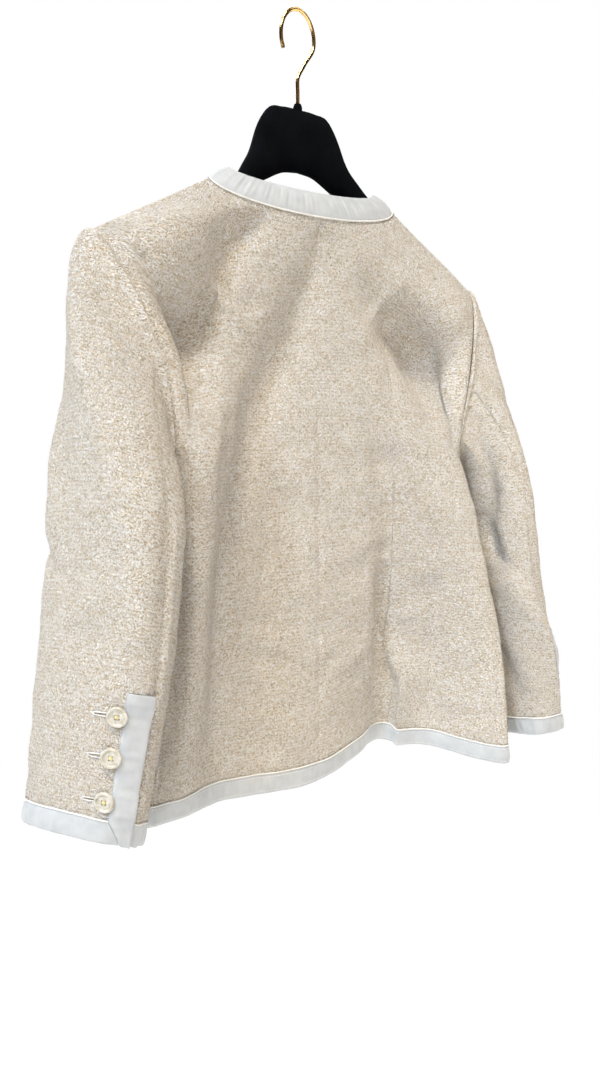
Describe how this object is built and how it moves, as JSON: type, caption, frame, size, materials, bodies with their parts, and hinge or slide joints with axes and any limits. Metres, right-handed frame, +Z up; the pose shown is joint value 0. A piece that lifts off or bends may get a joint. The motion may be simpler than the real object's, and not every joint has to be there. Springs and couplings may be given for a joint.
{
  "type": "cropped tweed jacket on a clothes hanger",
  "caption": "Collarless cropped boucle tweed jacket with taped edges and buttoned sleeve vents, hanging empty on a contoured flocked hanger with a wire hook.",
  "frame": {"origin": "inside top of the hanger's hook, where the rail bears", "axes": "+Z up; the jacket's back faces +Y; its wearer's left is at +X"},
  "size_m": [0.6092, 0.2209, 0.7469],
  "materials": {
    "tweed": "ivory boucle tweed, matt and nubby",
    "tape": "ivory ribbed tape with a corded edge",
    "resin": "cream, slightly clear",
    "velvet": "black flock on a rigid hanger",
    "brass": "polished wire"
  },
  "bodies": {
    "root": {"back_centre_left": "tweed", "back_centre_right": "tweed", "back_side_left": "tweed", "back_side_right": "tweed", "button_left_1": "resin", "button_left_2": "resin", "button_left_3": "resin", "button_right_1": "resin", "button_right_2": "resin", "button_right_3": "resin", "cuff_band_top_left": "tape", "cuff_band_top_right": "tape", "cuff_band_under_left": "tape", "cuff_band_under_right": "tape", "front_band_left": "tape", "front_band_right": "tape", "front_left": "tweed", "front_right": "tweed", "hanger_body": "velvet", "hanger_hook": "brass", "hem_band": "tape", "neck_band": "tape", "sleeve_top_left": "tweed", "sleeve_top_right": "tweed", "sleeve_under_left": "tweed", "sleeve_under_right": "tweed", "underarm_left": "tweed", "underarm_right": "tweed", "vent_band_left": "tape", "vent_band_right": "tape"}
  },
  "joints": []
}
